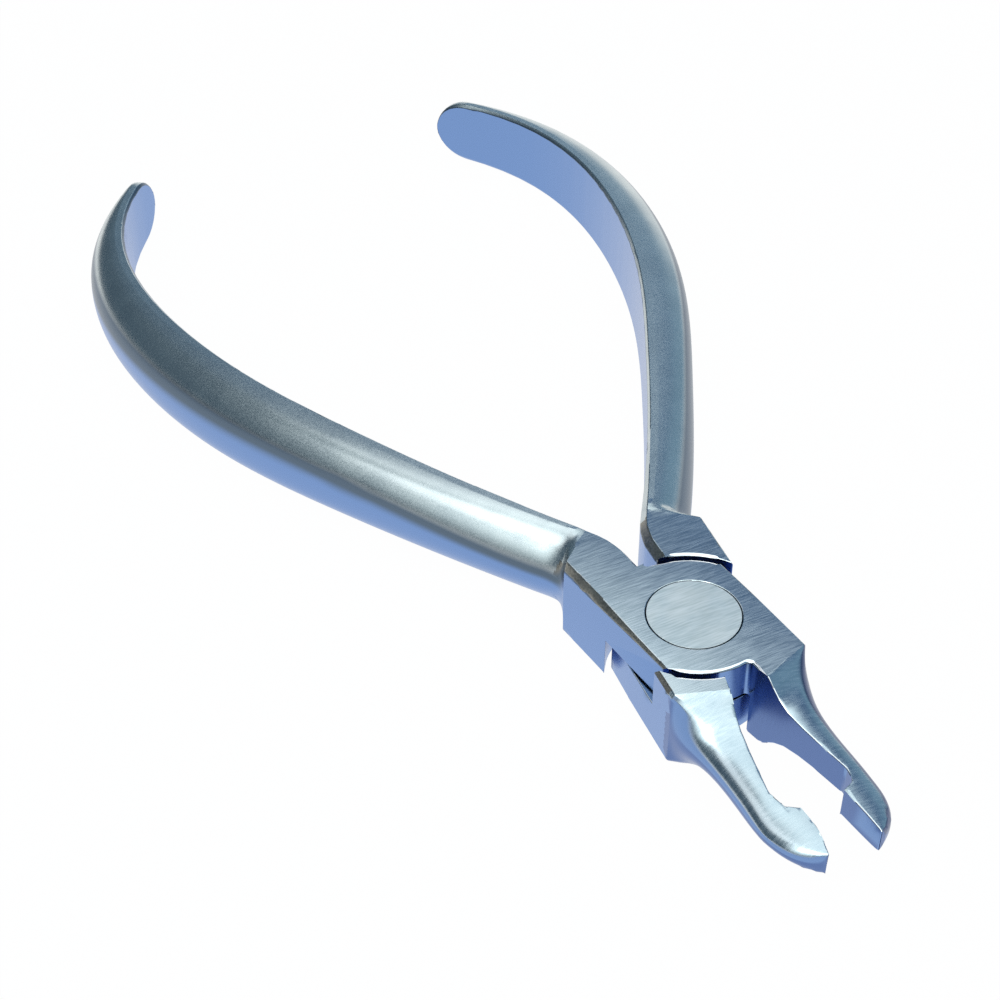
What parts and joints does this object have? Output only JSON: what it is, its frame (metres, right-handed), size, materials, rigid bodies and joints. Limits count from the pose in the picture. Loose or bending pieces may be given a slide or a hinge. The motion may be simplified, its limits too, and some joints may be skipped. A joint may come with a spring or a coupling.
{
  "type": "crown contouring pliers",
  "caption": "Dental pliers for contouring crowns: forged steel halves crossed in a lap joint on a flush rivet, bowed handles, short jaws ending in small pads.",
  "frame": {"origin": "on the pivot axis, in the plane of the joint's underside", "axes": "+X across the pliers to the side of the lower half's handle, +Y along the centre line from the jaws to the handles, +Z along the pivot axis from the underside to the rivet's head"},
  "size_m": [0.0698, 0.1289, 0.0097],
  "materials": {
    "upper_half_steel": "satin blasted handles, ground joint faces",
    "lower_half_steel": "satin blasted handles, ground joint faces",
    "rivet_steel": "ground flush"
  },
  "bodies": {
    "lower_half": {"lower_half": "lower_half_steel", "pivot_rivet": "rivet_steel"},
    "upper_half": {"upper_half": "upper_half_steel"}
  },
  "joints": [
    {"name": "jaw_pivot", "type": "hinge", "parent": "lower_half", "child": "upper_half", "pos_m": [0, 0, 0.00445], "axis": [0, 0, 1], "range_deg": [-9.5, 54]}
  ]
}
